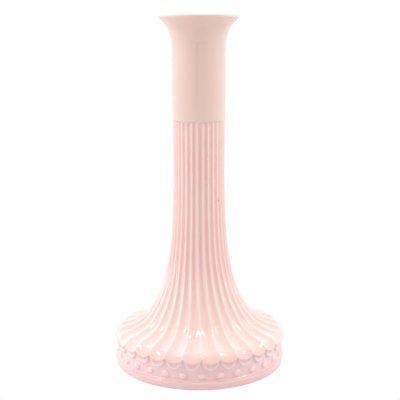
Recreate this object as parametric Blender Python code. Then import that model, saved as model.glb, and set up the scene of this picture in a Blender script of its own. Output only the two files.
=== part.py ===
"""Pressed glass bud vase: a smooth flared neck, a fluted stem that spreads into a scalloped
skirt, a band of moulded beads and a plain foot ring. Metres, +Z up, resting on Z = 0.

The front of the vase faces -Y, and one flute ridge runs down it.
"""
import math

import bmesh
import bpy
from mathutils import Matrix, Vector
from mathutils.geometry import interpolate_bezier

# ---- driving dimensions ----
HEIGHT = 0.2290             # foot to lip
FLUTES = 30                 # ridges, scallops and beads share this count
GAP = 0.0003                # left between one formed section and the next
OVERSHOOT = 0.002           # how far a cutter runs past what it cuts
TURNED_STEPS = 60           # segments round a turned surface
FLUTE_STEPS = 4             # points round one flute

# smooth neck
NECK_RADIUS = 0.01705
NECK_FOOT_Z = 0.1625        # the crisp step where the flutes begin
FLARE_START_Z = 0.2024
FLARE_PULL = (0.0211, 0.2227), (0.0171, 0.2199)         # handles of the curve under the lip
LIP_RADIUS = 0.0261
LIP_UNDER_Z = 0.2267        # lower edge of the upright lip
LIP_UNDERCUT = 0.0005
LIP_ROUNDING = 0.0009
MOUTH_RADIUS = 0.0234       # inner edge of the lip
BORE_TOP_RADIUS = 0.0137
BORE_STEP_RADIUS = 0.0134   # bore where the neck meets the stem
BORE_PULL = (0.0139, 0.2175), (0.0160, 0.2228)          # handles of the curve inside the flare

# fluted stem
RIDGE_RADIUS = 0.0167       # crest of the ridges on the straight part
STRAIGHT_END_Z = 0.1350
STEM_PULL = (0.0167, 0.0963), (0.0181, 0.0598)          # handles of the spreading ridge line
STEM_FOOT_RADIUS = 0.0293   # crest where the stem hands over to the skirt
STEM_FOOT_Z = 0.0413
BORE_FOOT_RADIUS = 0.0109
STEM_FLUTE_DEPTH = 0.0008

# glass floor that closes the well
FLOOR_RADIUS = 0.0200
FLOOR_THICKNESS = 0.0070
FLOOR_DISH = 0.0012
FLOOR_DISH_RADIUS = 0.0060  # where the dish has risen by a fifth
FLOOR_EDGE = 0.0010

# scalloped skirt
SKIRT_PULL = (0.0356, 0.0311), (0.0389, 0.0272)         # handles of the skirt's ridge line
SHOULDER_RADIUS = 0.0516    # crest where the skirt rolls over to its edge
SHOULDER_Z = 0.0242
SKIRT_FLUTE_DEPTH = 0.0013
ROLL_RADIUS = 0.0546        # crest halfway round the roll
ROLL_Z = 0.0226
ROLL_DROP = 0.0012          # how far a flute sags there
CUSP_RADIUS = 0.0561        # notch between two scallops
CUSP_Z = 0.0198
SCALLOP_REACH = 0.0006      # how far a scallop stands out past its notches
SCALLOP_DROP = 0.0022       # how far its upper edge sags between them
SCALLOP_FACE = 0.0006       # height of its upright face at a notch
SCALLOP_HANG = 0.0060       # how far its lower edge hangs below the notches
HOLLOW_CROWN_Z = 0.0338
HOLLOW_PULL = (0.0270, 0.0338), (0.0340, 0.0265)        # handles of the hollow's wall
SEAT_Z = 0.0182             # underside of the skirt, on the bead band

# bead band
BAND_RADIUS = 0.0547
HOLLOW_RADIUS = 0.0496      # inner wall shared by skirt, band and ring
BAND_FOOT_Z = 0.0058
BAND_NECKING = 0.0007       # relief that makes the groove above the foot ring
BAND_NECKING_HEIGHT = 0.0012
BEAD_RADIUS = 0.0024
BEAD_CENTRE_RADIUS = 0.0542
BEAD_Z = 0.0106

# foot ring
RING_RADIUS = 0.0566
RING_FOOT_RADIUS = 0.0558
RING_TOP_EDGE = 0.0007
RING_FOOT_EDGE = 0.0006


def glass(name, colour, roughness):
    """Opaque coloured pressed glass."""
    material = bpy.data.materials.new(name)
    material.use_nodes = True
    shader = material.node_tree.nodes["Principled BSDF"]
    shader.inputs["Base Color"].default_value = (*colour, 1.0)
    shader.inputs["Roughness"].default_value = roughness
    shader.inputs["Metallic"].default_value = 0.0
    return material


def new_object(name, mesh, material=None):
    item = bpy.data.objects.new(name, mesh)
    bpy.context.scene.collection.objects.link(item)
    if material:
        mesh.materials.append(material)
    return item


def as_cutter(item):
    """A shape that only cuts or joins another one."""
    item.hide_render = True
    item.display_type = "WIRE"
    return item


def bezier(start, start_handle, end_handle, end, count):
    """Points (radius, height) along one cubic span."""
    corners = [Vector((radius, height)) for radius, height in (start, start_handle, end_handle, end)]
    return [(point.x, point.y) for point in interpolate_bezier(*corners, count)]


def turned(name, outline, material=None, closed=True, steps=TURNED_STEPS):
    """Turn an outline of (radius, height) points, running down its outer side first."""
    mesh = bpy.data.meshes.new(name)
    points = [(radius, 0.0, height) for radius, height in outline]
    edges = [(index, index + 1) for index in range(len(points) - 1)]
    if closed:
        edges.append((len(points) - 1, 0))
    mesh.from_pydata(points, edges, [])
    item = new_object(name, mesh, material)
    screw = item.modifiers.new("turn", "SCREW")
    screw.steps = steps
    screw.render_steps = steps
    screw.use_merge_vertices = True
    screw.merge_threshold = 0.00001
    screw.use_smooth_shade = True
    return item


def boolean(item, other, operation):
    modifier = item.modifiers.new(other.name, "BOOLEAN")
    modifier.operation = operation
    modifier.object = other
    modifier.solver = "EXACT"


def fluted(name, rings, material):
    """A closed body through rings, each a function of the place across one flute, 0 to 1."""
    count = FLUTES * FLUTE_STEPS
    shape = bmesh.new()
    loops = []
    for ring in rings:
        loop = []
        for index in range(count):
            turn = 2 * math.pi * index / count - math.pi / 2
            radius, height = ring(index % FLUTE_STEPS / FLUTE_STEPS)
            loop.append(shape.verts.new((radius * math.cos(turn), radius * math.sin(turn), height)))
        loops.append(loop)
    for upper, lower in zip(loops, loops[1:]):
        for index in range(count):
            after = (index + 1) % count
            shape.faces.new((upper[index], lower[index], lower[after], upper[after]))
    shape.faces.new(loops[0])
    shape.faces.new(reversed(loops[-1]))
    mesh = bpy.data.meshes.new(name)
    shape.to_mesh(mesh)
    shape.free()
    mesh.shade_smooth()
    mesh.set_sharp_from_angle(angle=math.radians(35))
    return new_object(name, mesh, material)


def flute_ring(radius, height, depth, slope):
    """A ring through a ridge line point: concave flutes sunk along the surface's own normal."""
    def place(across):
        sink = depth * 4 * across * (1 - across)
        return radius - sink * math.cos(slope), height - sink * math.sin(slope)
    return place


def scallop_ring(radius, height, reach, hang):
    """A ring that swells out and sags in a half ellipse between two notches."""
    def place(across):
        swell = math.sqrt(1 - (2 * across - 1) ** 2)
        return radius + reach * swell, height - hang * swell
    return place


def plain_ring(radius, height, hang=0.0):
    return scallop_ring(radius, height, 0.0, hang)


def ridge_rings(points, first_depth, last_depth):
    """Fluted rings along a ridge line, with the flute depth changing evenly along it."""
    rings = []
    last = len(points) - 1
    for index, (radius, height) in enumerate(points):
        before = points[max(index - 1, 0)]
        after = points[min(index + 1, last)]
        slope = math.atan2(after[0] - before[0], before[1] - after[1])
        depth = first_depth + (last_depth - first_depth) * index / last
        rings.append(flute_ring(radius, height, depth, slope))
    return rings


def flared_neck():
    """Smooth neck, fire-polished and flared out to an upright lip."""
    flare = bezier((LIP_RADIUS - LIP_UNDERCUT, LIP_UNDER_Z), *FLARE_PULL, (NECK_RADIUS, FLARE_START_Z), 8)
    inside = bezier((BORE_TOP_RADIUS, FLARE_START_Z), *BORE_PULL,
                    (MOUTH_RADIUS - LIP_UNDERCUT, HEIGHT - LIP_ROUNDING), 7)
    foot = NECK_FOOT_Z + GAP / 2
    outline = [
        (LIP_RADIUS - LIP_ROUNDING, HEIGHT),
        (LIP_RADIUS, HEIGHT - LIP_ROUNDING),
        *flare,
        (NECK_RADIUS, foot),
        (BORE_STEP_RADIUS, foot),
        *inside,
        (MOUTH_RADIUS, HEIGHT),
    ]
    turned("flared_neck", outline, glass("neck_glass", (0.80, 0.56, 0.50), 0.10))


def fluted_stem():
    """Stem with concave flutes outside and the tapered well inside."""
    top = NECK_FOOT_Z - GAP / 2
    foot = STEM_FOOT_Z + GAP / 2
    points = [(RIDGE_RADIUS, top)]
    points += bezier((RIDGE_RADIUS, STRAIGHT_END_Z), *STEM_PULL, (STEM_FOOT_RADIUS, foot), 11)
    rings = ridge_rings(points, STEM_FLUTE_DEPTH, SKIRT_FLUTE_DEPTH)
    rings[-1] = scallop_ring(STEM_FOOT_RADIUS, foot, -SKIRT_FLUTE_DEPTH, 0.0)
    stem = fluted("fluted_stem", rings, glass("stem_glass", (0.86, 0.60, 0.55), 0.12))
    taper = (BORE_STEP_RADIUS - BORE_FOOT_RADIUS) / (top - foot)
    bore = [
        (0.0, top + OVERSHOOT),
        (BORE_STEP_RADIUS + taper * OVERSHOOT, top + OVERSHOOT),
        (BORE_FOOT_RADIUS - taper * OVERSHOOT, foot - OVERSHOOT),
        (0.0, foot - OVERSHOOT),
    ]
    boolean(stem, as_cutter(turned("well_cutter", bore, closed=False)), "DIFFERENCE")


def well_floor():
    """Thick web of glass that closes the well, slightly dished where the plunger stopped."""
    top = STEM_FOOT_Z - GAP / 2
    foot = top - FLOOR_THICKNESS
    outline = [
        (0.0, top - FLOOR_DISH),
        (FLOOR_DISH_RADIUS, top - FLOOR_DISH * 0.8),
        (BORE_FOOT_RADIUS, top),
        (FLOOR_RADIUS, top),
        (FLOOR_RADIUS, foot + FLOOR_EDGE),
        (FLOOR_RADIUS - FLOOR_EDGE, foot),
        (0.0, foot),
    ]
    turned("well_floor", outline, glass("floor_glass", (0.84, 0.58, 0.54), 0.12), closed=False, steps=48)


def scalloped_skirt():
    """Fluted skirt, hollow underneath, that ends in a row of hanging scallops."""
    top = STEM_FOOT_Z - GAP / 2
    points = bezier((STEM_FOOT_RADIUS, top), *SKIRT_PULL, (SHOULDER_RADIUS, SHOULDER_Z), 8)
    rings = ridge_rings(points, SKIRT_FLUTE_DEPTH, SKIRT_FLUTE_DEPTH)
    rings[0] = scallop_ring(STEM_FOOT_RADIUS, top, -SKIRT_FLUTE_DEPTH, 0.0)
    inner_edge = BAND_RADIUS + GAP
    rings += [
        scallop_ring(ROLL_RADIUS, ROLL_Z, 0.0, ROLL_DROP),
        scallop_ring(CUSP_RADIUS, CUSP_Z, SCALLOP_REACH, SCALLOP_DROP),
        scallop_ring(CUSP_RADIUS, CUSP_Z - SCALLOP_FACE, SCALLOP_REACH, SCALLOP_HANG),
        plain_ring(inner_edge, CUSP_Z - SCALLOP_FACE, SCALLOP_HANG),
        plain_ring(inner_edge, SEAT_Z),
    ]
    skirt = fluted("scalloped_skirt", rings, glass("skirt_glass", (0.88, 0.64, 0.59), 0.12))
    opening = FLOOR_RADIUS + GAP
    hollow = [
        (0.0, top + OVERSHOOT),
        (opening, top + OVERSHOOT),
        *bezier((opening, HOLLOW_CROWN_Z), *HOLLOW_PULL, (HOLLOW_RADIUS, SEAT_Z), 8),
        (HOLLOW_RADIUS, SEAT_Z - OVERSHOOT),
        (0.0, SEAT_Z - OVERSHOOT),
    ]
    boolean(skirt, as_cutter(turned("hollow_cutter", hollow, closed=False)), "DIFFERENCE")


def bead_band():
    """Recessed band under the scallops, with a row of moulded beads."""
    top = SEAT_Z - GAP
    outline = [
        (BAND_RADIUS, top),
        (BAND_RADIUS, BAND_FOOT_Z + BAND_NECKING_HEIGHT),
        (BAND_RADIUS - BAND_NECKING, BAND_FOOT_Z),
        (HOLLOW_RADIUS, BAND_FOOT_Z),
        (HOLLOW_RADIUS, top),
    ]
    band = turned("bead_band", outline, glass("band_glass", (0.82, 0.50, 0.48), 0.14))
    shape = bmesh.new()
    for index in range(FLUTES):
        turn = 2 * math.pi * index / FLUTES - math.pi / 2
        place = Matrix.Rotation(turn, 4, "Z") @ Matrix.Translation((BEAD_CENTRE_RADIUS, 0.0, BEAD_Z))
        bmesh.ops.create_uvsphere(shape, u_segments=8, v_segments=6, radius=BEAD_RADIUS, matrix=place)
    mesh = bpy.data.meshes.new("beads")
    shape.to_mesh(mesh)
    shape.free()
    mesh.shade_smooth()
    boolean(band, as_cutter(new_object("beads", mesh)), "UNION")


def foot_ring():
    """Plain ring that the vase stands on, with its underside ground flat."""
    top = BAND_FOOT_Z - GAP
    outline = [
        (RING_RADIUS - RING_TOP_EDGE, top),
        (RING_RADIUS - RING_TOP_EDGE * 0.3, top - RING_TOP_EDGE * 0.3),
        (RING_RADIUS, top - RING_TOP_EDGE),
        (RING_FOOT_RADIUS, RING_FOOT_EDGE),
        (RING_FOOT_RADIUS - RING_FOOT_EDGE, 0.0),
        (HOLLOW_RADIUS + RING_FOOT_EDGE, 0.0),
        (HOLLOW_RADIUS, RING_FOOT_EDGE),
        (HOLLOW_RADIUS, top),
    ]
    turned("foot_ring", outline, glass("ring_glass", (0.84, 0.54, 0.51), 0.14))


for leftover in list(bpy.data.objects):
    bpy.data.objects.remove(leftover, do_unlink=True)

flared_neck()
fluted_stem()
well_floor()
scalloped_skirt()
bead_band()
foot_ring()
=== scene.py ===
import math

import bpy
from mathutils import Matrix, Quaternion, Vector
from mathutils.geometry import interpolate_bezier


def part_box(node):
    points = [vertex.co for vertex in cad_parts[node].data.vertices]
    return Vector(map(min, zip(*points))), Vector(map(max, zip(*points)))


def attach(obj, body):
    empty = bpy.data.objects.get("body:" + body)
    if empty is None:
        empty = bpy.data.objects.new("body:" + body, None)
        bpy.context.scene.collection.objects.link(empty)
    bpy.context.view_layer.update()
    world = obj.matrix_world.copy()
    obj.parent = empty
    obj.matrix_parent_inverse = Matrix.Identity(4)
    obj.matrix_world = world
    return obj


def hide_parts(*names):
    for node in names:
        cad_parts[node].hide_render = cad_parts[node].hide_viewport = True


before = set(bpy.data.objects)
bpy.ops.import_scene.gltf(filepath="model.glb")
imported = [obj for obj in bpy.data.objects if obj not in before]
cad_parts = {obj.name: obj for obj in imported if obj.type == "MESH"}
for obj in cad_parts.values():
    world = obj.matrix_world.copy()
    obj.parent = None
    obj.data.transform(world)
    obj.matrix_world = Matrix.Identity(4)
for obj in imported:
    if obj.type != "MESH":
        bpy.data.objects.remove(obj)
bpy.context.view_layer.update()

# ---- Foot ring -------------------------------------------------------------------------
# The plain ring that the vase stands on, pressed in one mould with the rest of the glass.
# Its upper edge comes out of the mould slightly round; its underside is ground flat.

ring_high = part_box("foot_ring")[1]
ring_radius = ring_high.x
ring_top = ring_high.z
ring_foot_radius = ring_radius - 0.0008     # the face draws in a little towards the foot
hollow_radius = ring_radius - 0.0070        # inner wall under the whole base
groove_radius = ring_radius - 0.0020        # bottom of the groove above the ring


class Wire:
    """One output of a node. Arithmetic on it adds Math nodes to its tree."""

    def __init__(self, net, socket):
        self.net = net
        self.socket = socket

    def output(self, key):
        """Another output of the node that this one belongs to."""
        return Wire(self.net, self.socket.node.outputs[key])

    def math(self, operation, other=0.0, third=0.0):
        return self.net.node("ShaderNodeMath", {"operation": operation}, {0: self, 1: other, 2: third})

    def __add__(self, other):
        return self.math("ADD", other)

    def __sub__(self, other):
        return self.math("SUBTRACT", other)

    def __mul__(self, other):
        return self.math("MULTIPLY", other)

    def __truediv__(self, other):
        return self.math("DIVIDE", other)

    def __rsub__(self, other):
        return self.math("MULTIPLY_ADD", -1.0, other)

    def __pow__(self, other):
        return self.math("POWER", other)

    def __abs__(self):
        return self.math("ABSOLUTE")

    __radd__ = __add__
    __rmul__ = __mul__

    def eased(self, start, stop):
        """0 at start, 1 at stop, with a smooth step between."""
        return self.net.node(
            "ShaderNodeMapRange", {"interpolation_type": "SMOOTHSTEP"},
            {"Value": self, "From Min": start, "From Max": stop})


class Net:
    """A node tree being written."""

    def __init__(self, tree):
        self.tree = tree

    def node(self, kind, settings=None, sockets=None, out=0):
        """Add a node: its settings first, then a value or a wire for each socket."""
        made = self.tree.nodes.new(kind)
        for name, value in (settings or {}).items():
            setattr(made, name, value)
        for key, value in (sockets or {}).items():
            if isinstance(value, Wire):
                self.tree.links.new(value.socket, made.inputs[key])
            else:
                made.inputs[key].default_value = value
        return Wire(self, made.outputs[out])

    def vector(self, operation, *values, out=0):
        return self.node("ShaderNodeVectorMath", {"operation": operation}, dict(enumerate(values)), out)

    def scaled(self, value, factor):
        return self.node("ShaderNodeVectorMath", {"operation": "SCALE"}, {0: value, "Scale": factor})

    def parts(self, value):
        """The X of a vector; its Y and Z are the same node's other outputs."""
        return self.node("ShaderNodeSeparateXYZ", None, {0: value})

    def point(self, x, y, z):
        return self.node("ShaderNodeCombineXYZ", None, {"X": x, "Y": y, "Z": z})


def new_tree(name, sizes):
    """An empty Geometry Nodes tree with one named input for each size, and its wires."""
    tree = bpy.data.node_groups.new(name, "GeometryNodeTree")
    face = tree.interface
    face.new_socket("Geometry", in_out="INPUT", socket_type="NodeSocketGeometry")
    for label, kind in sizes.items():
        face.new_socket(label, in_out="INPUT", socket_type=kind)
    face.new_socket("Geometry", in_out="OUTPUT", socket_type="NodeSocketGeometry")
    net = Net(tree)
    entry = tree.nodes.new("NodeGroupInput")
    return net, {socket.name: Wire(net, socket) for socket in entry.outputs if socket.name}


def close_tree(net, geometry, glass):
    """Smooth shading, real geometry and the glass, which every tree ends in."""
    smooth = net.node("GeometryNodeSetShadeSmooth", None, {"Geometry": geometry})
    real = net.node("GeometryNodeRealizeInstances", None, {"Geometry": smooth})
    made = net.node("GeometryNodeSetMaterial", None, {"Geometry": real, "Material": glass})
    net.tree.links.new(made.socket, net.tree.nodes.new("NodeGroupOutput").inputs[0])
    return net.tree


def turning_tree():
    """Turns an outline round +Z and presses flutes and scallops into it.

    Each outline point carries how far a flute sinks it and how far a scallop swells it.
    A sink follows a concave flute with a rounded crest, a swell follows a full round arc.
    """
    net, size = new_tree("turned glass", {
        "Flutes": "NodeSocketInt", "Steps per flute": "NodeSocketInt", "Closed": "NodeSocketInt",
        "Crest rounding": "NodeSocketFloat", "Crowding": "NodeSocketFloat",
        "Scallop power": "NodeSocketFloat", "Unevenness": "NodeSocketFloat",
        "Twist": "NodeSocketFloat", "Twist start": "NodeSocketFloat", "Twist end": "NodeSocketFloat",
        "Glass": "NodeSocketMaterial"})
    outline = size["Geometry"]
    count = net.node("GeometryNodeAttributeDomainSize", {"component": "MESH"}, {"Geometry": outline})
    around = size["Flutes"] * size["Steps per flute"]
    grid = net.node("GeometryNodeMeshGrid", None, {
        "Vertices X": count + size["Closed"], "Vertices Y": around + 1})
    index = net.node("GeometryNodeInputIndex")
    ring = (index / (around + 1)).math("FLOOR").math("MODULO", count)
    step = index.math("MODULO", around + 1) / size["Steps per flute"]
    flute = (step + 0.0001).math("FLOOR")
    even = step - flute
    across = even - (even * math.tau).math("SINE") * size["Crowding"] / math.tau

    def carried(value):
        return net.node("GeometryNodeSampleIndex", {"data_type": "FLOAT_VECTOR"},
                        {"Geometry": outline, "Value": value, "Index": ring})

    def named(label):
        return net.node("GeometryNodeInputNamedAttribute", {"data_type": "FLOAT_VECTOR"}, {"Name": label})

    place = carried(net.node("GeometryNodeInputPosition"))
    sink = carried(named("sink"))
    swell = carried(named("swell"))
    from_middle = abs(across * 2 - 1)
    arch = (1 - from_middle * from_middle).math("MAXIMUM", 0.0)
    rounding = size["Crest rounding"]
    square = rounding * rounding
    valley = ((arch * arch + square) ** 0.5 - rounding) / ((1 + square) ** 0.5 - rounding)
    sunk = net.scaled(sink, valley)
    swollen = net.scaled(swell, arch ** size["Scallop power"])
    radius = net.parts(net.vector("ADD", net.vector("ADD", place, sunk), swollen))
    height = radius.output("Z")
    twist = height.eased(size["Twist start"], size["Twist end"]) * size["Twist"]
    turn = (flute + across) / size["Flutes"] * math.tau - math.pi / 2 + twist
    even_place = net.point(radius * turn.math("COSINE"), radius * turn.math("SINE"), height)
    drift = net.node("ShaderNodeTexNoise", None, {"Vector": even_place, "Scale": 70.0, "Detail": 1.0})
    wobbly = radius * (1 + (drift - 0.5) * size["Unevenness"])
    uneven = net.point(wobbly * turn.math("COSINE"), wobbly * turn.math("SINE"), height)
    shaped = net.node("GeometryNodeSetPosition", None, {"Geometry": grid, "Position": uneven})
    # The crest value is stored for the glass, which paints highlight on the ridges and shade in the flutes
    # with it.
    fluted = net.vector("LENGTH", sink, out=1).eased(0.0, 0.0003)
    crest = net.node("GeometryNodeStoreNamedAttribute", {"data_type": "FLOAT"}, {
        "Geometry": shaped, "Name": "crest", "Value": (1 - valley) * fluted})
    merged = net.node("GeometryNodeMergeByDistance", None, {"Geometry": crest, "Distance": 0.000002})
    return close_tree(net, merged, size["Glass"])


turning = turning_tree()


def plain_mesh(name, mesh, tree, **sizes):
    """Run a tree on a mesh, with its inputs set by name, and keep the result as a plain mesh."""
    piece = bpy.data.objects.new(name, mesh)
    bpy.context.scene.collection.objects.link(piece)
    modifier = piece.modifiers.new("shape", "NODES")
    modifier.node_group = tree
    labels = {label.replace("_", " "): value for label, value in sizes.items()}
    for item in tree.interface.items_tree:
        if item.in_out == "INPUT" and item.name in labels:
            modifier[item.identifier] = labels[item.name]
    ready = piece.evaluated_get(bpy.context.evaluated_depsgraph_get())
    result = bpy.data.meshes.new_from_object(ready)
    piece.modifiers.remove(modifier)
    piece.data = result
    return piece


def pressed(name, outline, glass, closed=True, flutes=60, steps=4, crest=0.3, crowding=0.0,
            uneven=0.0014, twist=(0.0, 0.0, 1.0)):
    """Turn an outline of (place, sink, swell) points, each a (radius, height) pair."""
    mesh = bpy.data.meshes.new(name + " outline")
    mesh.from_pydata([(place[0], 0.0, place[1]) for place, sink, swell in outline], [], [])
    for label, column in (("sink", 1), ("swell", 2)):
        layer = mesh.attributes.new(label, "FLOAT_VECTOR", "POINT")
        for index, row in enumerate(outline):
            layer.data[index].vector = (row[column][0], 0.0, row[column][1])
    return plain_mesh(name, mesh, turning, Flutes=flutes, Steps_per_flute=steps, Closed=int(closed),
                      Crest_rounding=crest, Crowding=crowding, Scallop_power=0.7, Unevenness=uneven,
                      Twist=twist[0], Twist_start=twist[1], Twist_end=twist[2], Glass=glass)


def plain(points):
    """Outline points that nothing is pressed into."""
    return [(place, (0.0, 0.0), (0.0, 0.0)) for place in points]


def bezier(start, start_handle, end_handle, end, count):
    corners = [Vector(point) for point in (start, start_handle, end_handle, end)]
    return [(point.x, point.y) for point in interpolate_bezier(*corners, count)]


def filleted(corners, closed=True, spacing=0.002, round_steps=6):
    """An outline through (radius, height, fillet) corners, with its long runs divided."""
    count = len(corners)
    points = []
    for index, (radius, height, fillet) in enumerate(corners):
        here = Vector((radius, height))
        ends = not closed and index in (0, count - 1)
        if fillet and not ends:
            before = Vector(corners[index - 1][:2])
            after = Vector(corners[(index + 1) % count][:2])
            start = here + (before - here).normalized() * fillet
            stop = here + (after - here).normalized() * fillet
            points += [tuple(p) for p in interpolate_bezier(
                start, start.lerp(here, 0.56), stop.lerp(here, 0.56), stop, round_steps)]
        else:
            points.append((radius, height))
    divided = []
    for index, point in enumerate(points):
        divided.append(point)
        if closed or index < len(points) - 1:
            here, after = Vector(point), Vector(points[(index + 1) % len(points)])
            parts = math.ceil((after - here).length / spacing)
            divided += [tuple(here.lerp(after, part / parts)) for part in range(1, parts)]
    return divided


def glass_net(name):
    """A new glass material's net, with its object coordinates."""
    material = bpy.data.materials.new(name)
    material.use_nodes = True
    net = Net(material.node_tree)
    net.material = material
    net.place = net.node("ShaderNodeTexCoord", out=3)
    return net


def noise(net, scale, detail=2.0, stretch=(1.0, 1.0, 1.0)):
    mapped = net.node("ShaderNodeMapping", None, {"Vector": net.place, "Scale": stretch})
    return net.node("ShaderNodeTexNoise", None, {"Vector": mapped, "Scale": scale, "Detail": detail})


def blend_colour(net, factor, first, second):
    values = {0: factor}
    for key, value in ((6, first), (7, second)):
        values[key] = value if isinstance(value, Wire) else (*value, 1.0)
    return net.node("ShaderNodeMix", {"data_type": "RGBA"}, values, 2)


def fired_glass(net, colour, relief=0.0, polish=0.07, rippled=0.00004):
    """Finish a glass: cloudy colour, faint ripples from the mould's chill, and pinprick pits."""
    cloud = noise(net, 26.0, 3.0).eased(0.35, 0.68)
    clouded = net.node("ShaderNodeHueSaturation", None, {
        "Hue": 0.5, "Saturation": 0.94 + cloud * 0.12, "Value": 0.985 + cloud * 0.02, "Color": colour})
    ripple = noise(net, 120.0, 2.0, (1.0, 1.0, 0.35))
    cells = net.node("ShaderNodeTexVoronoi", None, {"Vector": net.place, "Scale": 240.0})
    pit = 1 - cells.eased(0.02, 0.09)
    sparse = noise(net, 90.0, 0.0).eased(0.66, 0.7)
    height = ripple * rippled - pit * sparse * 0.00006 + relief
    bump = net.node("ShaderNodeBump", None, {"Strength": 0.6, "Distance": 1.0, "Height": height})
    smear = noise(net, 45.0, 4.0)
    shader = net.tree.nodes["Principled BSDF"].inputs
    net.tree.links.new(clouded.socket, shader["Base Color"])
    net.tree.links.new((polish + smear * 0.08 + pit * sparse * 0.2).socket, shader["Roughness"])
    net.tree.links.new(bump.socket, shader["Normal"])
    shader["IOR"].default_value = 1.51
    shader["Subsurface Weight"].default_value = 0.25
    shader["Subsurface Radius"].default_value = (1.0, 0.55, 0.45)
    shader["Subsurface Scale"].default_value = 0.0025
    shader["Coat Weight"].default_value = 0.4
    shader["Coat Roughness"].default_value = 0.04
    shader["Sheen Weight"].default_value = 0.55
    shader["Sheen Roughness"].default_value = 0.7
    return net.material


ring_net = glass_net("foot ring glass")
ring_height = ring_net.parts(ring_net.place).output("Z")
ground = 1 - ring_height.eased(0.0001, 0.0005)
grit = noise(ring_net, 1800.0, 2.0)
# The ring is coloured darker towards its top and in the groove above it: painted shade of the groove. The
# ground underside only gets rougher and gritty.
ring_glass = fired_glass(
    ring_net,
    blend_colour(ring_net, ring_height.eased(ring_top * 0.75, ring_top * 0.95),
                 (0.93, 0.595, 0.58), (0.87, 0.53, 0.515)),
    relief=ground * grit * 0.00006,
    polish=0.07 + ground * 0.4)

foot_ring = pressed("foot_ring_glass", plain(filleted([
    (ring_radius, ring_top - 0.0007, 0.0004),
    (ring_foot_radius, 0.0, 0.0006),
    (hollow_radius + 0.0006, 0.0, 0.0006),
    (hollow_radius, ring_top + 0.0010, 0.0002),
    (groove_radius - 0.0006, ring_top + 0.0010, 0.0002),
    (groove_radius, ring_top - 0.0001, 0.0001),
])), ring_glass, flutes=120)
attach(foot_ring, "root")
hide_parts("foot_ring")

# ---- Bead band -------------------------------------------------------------------------
# The upright band over the foot ring, pressed with everything else in the same mould.
# Each flute ends on it in a hanging tab with a raised rim, and a bead sits between two tabs.

band_low, band_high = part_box("bead_band")
wall_radius = groove_radius
band_foot = band_low.z - 0.0002             # a little into the groove above the ring
band_top = band_high.z + 0.0015             # out of sight behind the scallops
cove_top = band_foot + 0.0016               # where the wall starts to curve out to the ring
flutes = 30                                 # one tab and one bead to each
# rose and deep_rose: on the band the deeper one is painted shade on the recessed wall; the well floor
# mixes the two at random.
rose = (0.91, 0.67, 0.66)
deep_rose = (0.90, 0.59, 0.585)


def relief_tree():
    """Raises rimmed tabs and beads on a turned wall, one of each to every flute."""
    net, size = new_tree("tabs and beads", {
        "Flutes": "NodeSocketInt", "Wall radius": "NodeSocketFloat",
        "Tab centre": "NodeSocketFloat", "Tab half width": "NodeSocketFloat",
        "Tab depth": "NodeSocketFloat", "Tab rim": "NodeSocketFloat", "Tab face": "NodeSocketFloat",
        "Bead centre": "NodeSocketFloat", "Bead half width": "NodeSocketFloat",
        "Bead half height": "NodeSocketFloat", "Bead rise": "NodeSocketFloat",
        "Top": "NodeSocketFloat", "Glass": "NodeSocketMaterial"})
    wall = size["Wall radius"]
    x = net.parts(net.node("GeometryNodeInputPosition"))
    y, z = x.output("Y"), x.output("Z")
    radius = net.vector("LENGTH", net.point(x, y, 0.0), out=1)
    across = ((y.math("ARCTAN2", x) + math.pi / 2) / math.tau * size["Flutes"]).math("FRACT")
    half_pitch = wall * math.pi / size["Flutes"]
    from_middle = abs(across * 2 - 1) * half_pitch
    sideways = from_middle / size["Tab half width"]
    below = (size["Tab centre"] - z).math("MAXIMUM", 0.0) / size["Tab depth"]
    reach = (sideways * sideways + below * below) ** 0.5
    raised = 1 - reach.eased(0.9, 1.16)
    cove = 1 - reach.eased(0.55, 0.9)
    tab = raised * (size["Tab rim"] - cove * (size["Tab rim"] - size["Tab face"]))
    beside = (half_pitch - from_middle) / size["Bead half width"]
    above = (z - size["Bead centre"]) / size["Bead half height"]
    inside = (1 - beside * beside - above * above).math("MAXIMUM", 0.0)
    relief = tab.math("MAXIMUM", inside ** 0.6 * size["Bead rise"])
    outer = radius.eased(wall - 0.0012, wall - 0.0006)
    outer = outer * (1 - z.eased(size["Top"] - 0.0008, size["Top"]))
    swollen = relief * outer / radius + 1
    moved = net.node("GeometryNodeSetPosition", None, {
        "Geometry": size["Geometry"], "Position": net.point(x * swollen, y * swollen, z)})
    return close_tree(net, moved, size["Glass"])


band_net = glass_net("bead band glass")
band_place = band_net.parts(band_net.place)
band_height = band_place.output("Z")
band_reach = band_net.vector("LENGTH", band_net.point(band_place, band_place.output("Y"), 0.0), out=1)
# The band's wall is painted deeper pink towards its foot, where it curves into the groove: painted shade
# of the groove.
wall_colour_with_painted_groove_shade = blend_colour(
    band_net, band_height.eased(band_foot + 0.0004, band_foot + 0.0020),
    (0.92, 0.50, 0.485), deep_rose)
# The recessed wall keeps the deeper colour and the raised tabs and beads get the lighter rose: painted
# shade on the wall between them.
band_colour_with_painted_recess_shade = blend_colour(
    band_net, band_reach.eased(wall_radius + 0.0002, wall_radius + 0.0012), wall_colour_with_painted_groove_shade, rose)
band_glass = fired_glass(band_net, band_colour_with_painted_recess_shade)

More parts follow.
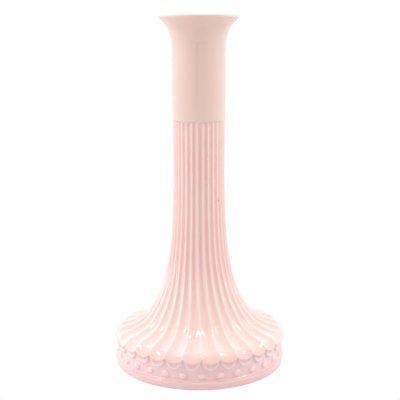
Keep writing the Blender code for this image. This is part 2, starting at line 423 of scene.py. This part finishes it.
band_wall = [(wall_radius, band_top + (cove_top - band_top) * part / 52) for part in range(52)]
band_cove = bezier((wall_radius, cove_top), (wall_radius, band_foot + 0.0007),
                   (wall_radius + 0.0002, band_foot + 0.0003), (wall_radius + 0.0009, band_foot), 8)
turned_band = pressed(
    "turned_band",
    plain(band_wall + band_cove + [
        (wall_radius + 0.0009, band_foot - 0.0005),
        (hollow_radius, band_foot - 0.0005),
        (hollow_radius, (band_foot + band_high.z) / 2),
        (hollow_radius, band_high.z),
        ((hollow_radius + wall_radius) / 2, band_top - 0.0004),
    ]), band_glass, flutes=flutes, steps=32, crowding=0.3)
bead_band = plain_mesh(
    "bead_band_glass", turned_band.data, relief_tree(), Flutes=flutes, Wall_radius=wall_radius,
    Tab_centre=0.0186, Tab_half_width=0.0050, Tab_depth=0.0058, Tab_rim=0.0011, Tab_face=0.0004,
    Bead_centre=0.0091, Bead_half_width=0.0027, Bead_half_height=0.0021, Bead_rise=0.0011,
    Top=band_top, Glass=band_glass)
bpy.data.objects.remove(turned_band)
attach(bead_band, "root")
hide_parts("bead_band")

# ---- Fluted stem and scalloped skirt ---------------------------------------------------
# The stem's flutes run on without a break over the spreading skirt, so both are one surface.
# The skirt's edge is crisp and scalloped, and stands a little over the band; inside is hollow.

skirt_low, skirt_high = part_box("scalloped_skirt")
floor_low, floor_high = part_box("well_floor")
neck_low, neck_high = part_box("flared_neck")
ridge_radius = 0.0167
straight_end = 0.1350                       # the stem is straight above this height
stem_top = neck_low.z + 0.0006
stem_depth = 0.0006                         # depth of a flute up the stem
skirt_depth = 0.0013                        # and at the skirt's shoulder
stem_foot = (0.0293, 0.0413)                # where the ridge line turns from stem to skirt
shoulder = (0.0516, 0.0242)                 # where the skirt starts to roll over
notch = (skirt_high.x - 0.0005, 0.0198)     # edge between two scallops
tip = (skirt_high.x - 0.0001, 0.0176)       # edge in the middle of a scallop
bore_top_radius = 0.0134
bore_foot_radius = 0.0109
stem_twist = math.radians(-5.0)             # how far the flutes turn between skirt and neck


def ribbed(points, first_depth, last_depth):
    """Outline points with a flute sunk along each point's own normal."""
    last = len(points) - 1
    rows = []
    for index, place in enumerate(points):
        before = Vector(points[max(index - 1, 0)])
        after = Vector(points[min(index + 1, last)])
        along = (after - before).normalized()
        depth = first_depth + (last_depth - first_depth) * index / last
        rows.append((place, (along.y * depth, -along.x * depth), (0.0, 0.0)))
    return rows


def scalloped(notches, tips):
    """Outline points between a notch line and a tip line."""
    return [(inner, (0.0, 0.0), (outer[0] - inner[0], outer[1] - inner[1]))
            for inner, outer in zip(notches, tips)]


def rolled(points, first_depth, reach):
    """Outline points over the shoulder: the flute fades as the scallop reaches on along the roll."""
    rows = []
    for index, (place, sink, swell) in enumerate(ribbed(points, first_depth, 0.0)):
        part = index / (len(points) - 1)
        rows.append((place, sink, (reach[0] * part * part, reach[1] * part * part)))
    return rows


def edge_turn(edge):
    """From the skirt's edge round and back underneath it."""
    radius, height = edge
    return bezier(edge, (radius, height - 0.0003), (radius - 0.0001, height - 0.0006),
                  (radius - 0.0005, height - 0.0006), 6)


straight = [(ridge_radius, neck_low.z - 0.0012 + (straight_end - neck_low.z) * part / 6)
            for part in range(6)]
stem_line = bezier((ridge_radius, straight_end), (ridge_radius, 0.0963), (0.0181, 0.0598),
                   stem_foot, 40)
skirt_line = bezier(stem_foot, (0.0356, 0.0311), (0.0389, 0.0272), shoulder, 28)
flute_start = ribbed([(ridge_radius, stem_top), (ridge_radius, neck_low.z),
                      (ridge_radius, neck_low.z - 0.0006)], 0.0, stem_depth * 0.9)
skirt_rows = flute_start + ribbed(straight + stem_line[:-1] + skirt_line, stem_depth, skirt_depth)
roll_rows = rolled(bezier(shoulder, (0.0537, 0.0237), (0.0557, 0.0213), notch, 18), skirt_depth,
                   (tip[0] - notch[0], tip[1] - notch[1]))
under_rows = scalloped(edge_turn(notch), edge_turn(tip))
behind_rows = scalloped(
    [(wall_radius + 0.0002, notch[1] - 0.0007), (wall_radius - 0.0004, notch[1] - 0.0009)],
    [(wall_radius + 0.0002, tip[1] - 0.0006), (wall_radius - 0.0004, tip[1] - 0.0006)])
crown = floor_low.z - 0.0005                # roof of the hollow under the skirt
opening = floor_high.x + 0.0001             # edge of the hole that the well floor fills
floor_top = floor_high.z
hollow_rows = plain([
    *bezier((hollow_radius, skirt_low.z + 0.0045), (0.0340, 0.0265), (0.0270, crown),
            (opening, crown), 12),
    (opening, floor_top + 0.0001),
    *[(bore_foot_radius + (bore_top_radius - bore_foot_radius) * part / 6,
       floor_top + 0.0001 + (neck_low.z - floor_top) * part / 6) for part in range(7)],
    (bore_top_radius + 0.0010, stem_top),
])

body_net = glass_net("fluted glass")
crest = body_net.node("ShaderNodeAttribute", {"attribute_name": "crest"}, out=2)
body_x = body_net.parts(body_net.place)
body_y = body_x.output("Y")
body_height = body_x.output("Z")
# Following the crest value, the ridges are painted pale cream as a painted highlight and the flutes deeper
# pink as painted shade; both are paler on the skirt than up the stem.
up_stem = body_height.eased(0.03, 0.09)
painted_valley_shade_colour = blend_colour(body_net, up_stem, (0.87, 0.58, 0.52), (0.90, 0.49, 0.45))
ridge = crest.eased(0.74 - up_stem * 0.48, 0.98 - up_stem * 0.2)
painted_ridge_highlight_colour = blend_colour(body_net, up_stem, (0.84, 0.67, 0.61), (0.80, 0.65, 0.61))
flute_colour_with_painted_light = blend_colour(body_net, ridge, painted_valley_shade_colour, painted_ridge_highlight_colour)

# A small dark speck in the glass, with a faint stain running down from it.
speck_turn = math.radians(-42.0)
speck_height = 0.1112
stain_height = speck_height - 0.0040
beside_speck = body_y * math.cos(speck_turn) - body_x * math.sin(speck_turn)
speck_side = (body_x * math.cos(speck_turn) + body_y * math.sin(speck_turn)).math("GREATER_THAN", 0.0)
speck_place = body_net.point(beside_speck, 0.0, body_height - speck_height)
speck_reach = body_net.vector("LENGTH", speck_place, out=1)
speck = (1 - (speck_reach + noise(body_net, 2400.0, 1.0) * 0.0003).eased(0.0006, 0.0012)) * speck_side
stain_place = body_net.point(beside_speck, 0.0, (body_height - stain_height) * 0.2)
stain = (1 - body_net.vector("LENGTH", stain_place, out=1).eased(0.0002, 0.0012)) * speck_side
stained_colour = blend_colour(body_net, stain * 0.6, flute_colour_with_painted_light, (0.86, 0.48, 0.30))
specked_colour = blend_colour(body_net, speck * 0.8, stained_colour, (0.45, 0.16, 0.07))
body_glass = fired_glass(body_net, specked_colour, rippled=0.00001)

fluted_body = pressed(
    "fluted_body_glass",
    skirt_rows[:-1] + roll_rows[:-1] + under_rows + behind_rows + hollow_rows,
    body_glass, flutes=flutes, steps=20, crest=0.45, crowding=0.45, uneven=0.0004,
    twist=(stem_twist, 0.022, 0.085))
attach(fluted_body, "root")
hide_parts("fluted_stem", "scalloped_skirt")

# ---- Well floor ------------------------------------------------------------------------
# The thick web of glass at the bottom of the well, dished where the plunger stopped.
# It is part of the pressing and closes the stem above the hollow underside.

floor_net = glass_net("well floor glass")
floor_glass = fired_glass(floor_net, blend_colour(floor_net, noise(floor_net, 40.0), deep_rose, rose))
well_floor = pressed("well_floor_glass", plain(filleted([
    (0.0, floor_top - 0.0012, 0.0),
    (bore_foot_radius * 0.7, floor_top - 0.0009, 0.003),
    (bore_foot_radius, floor_top + 0.0002, 0.0006),
    (opening + 0.0003, floor_top + 0.0002, 0.0),
    (opening + 0.0003, crown, 0.0),
    (0.0, crown, 0.0),
], closed=False)), floor_glass, closed=False)
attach(well_floor, "root")
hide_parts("well_floor")

# ---- Flared neck -----------------------------------------------------------------------
# The smooth neck, flared by hand after pressing and fire-polished, so it has no flutes.
# It ends in a low step where the flutes begin; the mould seam shows faintly down it.

neck_radius = 0.01705
flare_start = 0.2024                        # the neck is straight below this height
lip_radius = neck_high.x
lip_under = 0.2267                          # lower edge of the upright lip
mouth_radius = lip_radius - 0.0027
lip_top = neck_high.z
neck_foot = neck_low.z
seam_angle = math.radians(-4.7)
seam_end = 0.2117                           # a rubbed smudge crosses the seam's upper end

neck_net = glass_net("neck glass")
neck_x = neck_net.parts(neck_net.place)
neck_z = neck_x.output("Z")
seam_side = neck_x * math.cos(seam_angle) + neck_x.output("Y") * math.sin(seam_angle)
seam_front = neck_x.output("Y").math("LESS_THAN", 0.0)
seam_run = neck_z.eased(0.168, 0.182) * (1 - neck_z.eased(0.2105, 0.2125))
seam = (1 - abs(seam_side).eased(0.0001, 0.0013)) * seam_front * seam_run
smudge_place = neck_net.point((neck_x - 0.0006) * 0.16, 0.0, neck_z - seam_end)
smudge = (1 - neck_net.vector("LENGTH", smudge_place, out=1).eased(0.0002, 0.0010)) * seam_front
neck_colour = blend_colour(neck_net, noise(neck_net, 30.0), (0.79, 0.55, 0.475), (0.81, 0.565, 0.49))
# Under the flare, down to the lip's lower edge, the glass is painted deeper and darker pink: painted shade
# under the overhang.
below_lip = 1 - neck_z.eased(lip_under - 0.0008, lip_under + 0.0004)
under_lip_shade = neck_z.eased(0.2150, 0.2245) * below_lip
flare_colour_with_painted_shade = blend_colour(neck_net, under_lip_shade * 0.4, neck_colour, (0.80, 0.49, 0.41))
rim = neck_z.eased(lip_top - 0.0016, lip_top - 0.0002)
rim_colour = blend_colour(neck_net, rim * 0.35, flare_colour_with_painted_shade, (0.86, 0.70, 0.58))
seamed_colour = blend_colour(neck_net, seam * 0.4 + smudge * 0.3, rim_colour, (0.72, 0.44, 0.38))
neck_glass = fired_glass(neck_net, seamed_colour, relief=seam * 0.00003, polish=0.05)

outer_flare = bezier((lip_radius - 0.0003, lip_under), (0.0211, 0.2227), (0.0171, 0.2199),
                     (neck_radius, flare_start), 36)
inner_flare = bezier((0.0137, flare_start), (0.0139, 0.2175), (0.0160, 0.2228),
                     (mouth_radius - 0.0008, lip_top - 0.0013), 26)
lip = [
    *bezier((mouth_radius - 0.0008, lip_top - 0.0013), (mouth_radius - 0.0001, lip_top - 0.0001),
            (mouth_radius + 0.0004, lip_top), (mouth_radius + 0.0010, lip_top), 6),
    *bezier((lip_radius - 0.0009, lip_top), (lip_radius - 0.0003, lip_top),
            (lip_radius, lip_top - 0.0003), (lip_radius, lip_top - 0.0009), 8),
    *bezier((lip_radius, lip_top - 0.0013), (lip_radius, lip_under + 0.0005),
            (lip_radius - 0.0001, lip_under + 0.0002), (lip_radius - 0.0003, lip_under), 5)[:-1],
]
neck_wall = [(neck_radius, flare_start + (neck_foot + 0.0004 - flare_start) * part / 12)
             for part in range(1, 13)]
neck_step = bezier(
    (neck_radius, neck_foot + 0.0003), (neck_radius, neck_foot),
    (neck_radius - 0.0001, neck_foot - 0.0002), (neck_radius - 0.0006, neck_foot - 0.0003), 5)
neck_bore = [(bore_top_radius + 0.0003 * part / 12, neck_foot + (flare_start - neck_foot) * part / 12)
             for part in range(12)]
neck_outline = lip + outer_flare + neck_wall + neck_step + neck_bore + inner_flare[:-1]
flared_neck = pressed("flared_neck_glass", plain(neck_outline), neck_glass, steps=3)
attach(flared_neck, "root")
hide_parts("flared_neck")

# ---- Studio ----------------------------------------------------------------------------
# A pale sweep that is pure white to the camera, soft light all round, and two soft boxes high up.

studio = bpy.context.scene
studio.view_settings.view_transform = "Standard"

sweep_half = 6.0
sweep_level = -0.0002                       # just under the foot, so the two never coincide
sweep_mesh = bpy.data.meshes.new("sweep")
sweep_mesh.from_pydata([(x * sweep_half, y * sweep_half, sweep_level)
                        for x, y in ((-1, -1), (1, -1), (1, 1), (-1, 1))], [], [(0, 1, 2, 3)])
sweep = bpy.data.objects.new("sweep", sweep_mesh)
studio.collection.objects.link(sweep)
sweep_material = bpy.data.materials.new("pale sweep")
sweep_material.use_nodes = True
sweep_net = Net(sweep_material.node_tree)
sweep_shader = sweep_material.node_tree.nodes["Principled BSDF"]
sweep_shader.inputs["Base Color"].default_value = (0.68, 0.68, 0.68, 1.0)
sweep_shader.inputs["Roughness"].default_value = 0.8
sweep_white = sweep_net.node("ShaderNodeEmission", None, {"Color": (1.0, 1.0, 1.0, 1.0)})
sweep_seen = sweep_net.node("ShaderNodeMixShader", None, {
    0: sweep_net.node("ShaderNodeLightPath"), 1: Wire(sweep_net, sweep_shader.outputs[0]), 2: sweep_white})
sweep_material.node_tree.links.new(
    sweep_seen.socket, sweep_material.node_tree.nodes["Material Output"].inputs["Surface"])
sweep_mesh.materials.append(sweep_material)

sky = bpy.data.worlds.new("studio")
sky.use_nodes = True
studio.world = sky
sky_net = Net(sky.node_tree)
sky_x = sky_net.parts(sky_net.node("ShaderNodeTexCoord", out=0))
sky_high = sky_x.output("Z").eased(0.05, 0.45)
sky_left = (0.0 - sky_x).eased(0.4, 0.95) * 1.45
sky_right = sky_x.eased(0.5, 0.95) * 0.65
sky_back = sky_x.output("Y").eased(-0.8, 0.1) * 0.50
sky_light = 0.61 + sky_back + (sky_left + sky_right) * (1 - sky_high) + sky_high * 0.10
sky_seen = sky_light.math("MAXIMUM", sky_net.node("ShaderNodeLightPath"))
background = sky.node_tree.nodes["Background"]
background.inputs["Color"].default_value = (1.0, 1.0, 1.0, 1.0)
sky.node_tree.links.new(sky_seen.socket, background.inputs["Strength"])


def soft_box(name, place, width, power):
    """A tall narrow lamp aimed at the skirt, whose highlights it draws."""
    lamp = bpy.data.lights.new(name, "AREA")
    lamp.shape = "RECTANGLE"
    lamp.size = width
    lamp.size_y = 0.40
    lamp.energy = power
    item = bpy.data.objects.new(name, lamp)
    item.location = place
    item.rotation_euler = (Vector((0.0, 0.0, 0.04)) - Vector(place)).to_track_quat("-Z", "Y").to_euler()
    studio.collection.objects.link(item)


soft_box("left soft box", (-0.66, -0.11, 0.84), 0.06, 2.1)
soft_box("right soft box", (0.66, -0.09, 0.84), 0.07, 2.2)

# The camera stands level with the lip and looks down a little, just left of the front ridge.
view_distance = 0.5720
view_height = lip_top
view_pitch = math.radians(11.82)
view_turn = math.radians(1.37)
view_roll = math.radians(-0.12)
camera_data = bpy.data.cameras.new("camera")
camera_data.lens = 80.0
camera_data.sensor_width = 36.0
camera_data.clip_start = 0.01
camera = bpy.data.objects.new("camera", camera_data)
camera.location = (
    -view_distance * math.sin(view_turn), -view_distance * math.cos(view_turn), view_height)
aim = Vector((0.0006, 0.0, view_height - view_distance * math.tan(view_pitch)))
facing = (aim - camera.location).to_track_quat("-Z", "Y") @ Quaternion((0.0, 0.0, 1.0), view_roll)
camera.rotation_euler = facing.to_euler()
studio.collection.objects.link(camera)
studio.camera = camera

bpy.context.view_layer.update()
